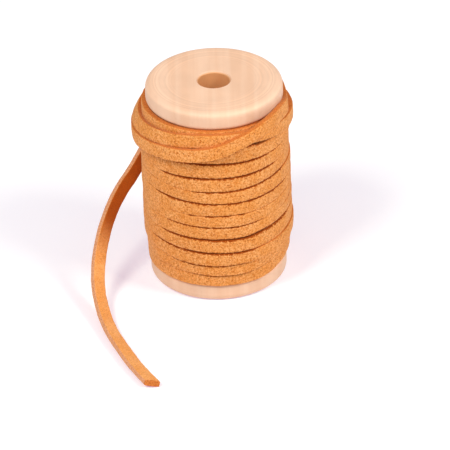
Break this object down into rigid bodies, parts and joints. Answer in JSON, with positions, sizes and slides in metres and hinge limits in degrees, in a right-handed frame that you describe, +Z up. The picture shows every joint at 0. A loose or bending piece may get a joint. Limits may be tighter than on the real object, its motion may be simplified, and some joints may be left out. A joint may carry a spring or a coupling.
{
  "type": "spool of flat suede lace",
  "caption": "Turned wooden spool with rounded flanges and a through bore, wound full of flat suede lace whose free end leaves the back and lies down on the surface in front.",
  "frame": {"origin": "centre of the spool's base, on the surface that it stands on", "axes": "+Z up along the bore's axis; -Y is the front, where the free end of the lace lies; +X is to the right seen from the front"},
  "size_m": [0.0462, 0.0692, 0.0476],
  "materials": {
    "birch_wood": "smooth turned, bare",
    "tan_suede": "napped suede, matte"
  },
  "bodies": {
    "root": {"spool_body": "birch_wood", "lace_inner_layers": "tan_suede", "lace_outer_layer": "tan_suede", "lace_tail": "tan_suede"}
  },
  "joints": []
}
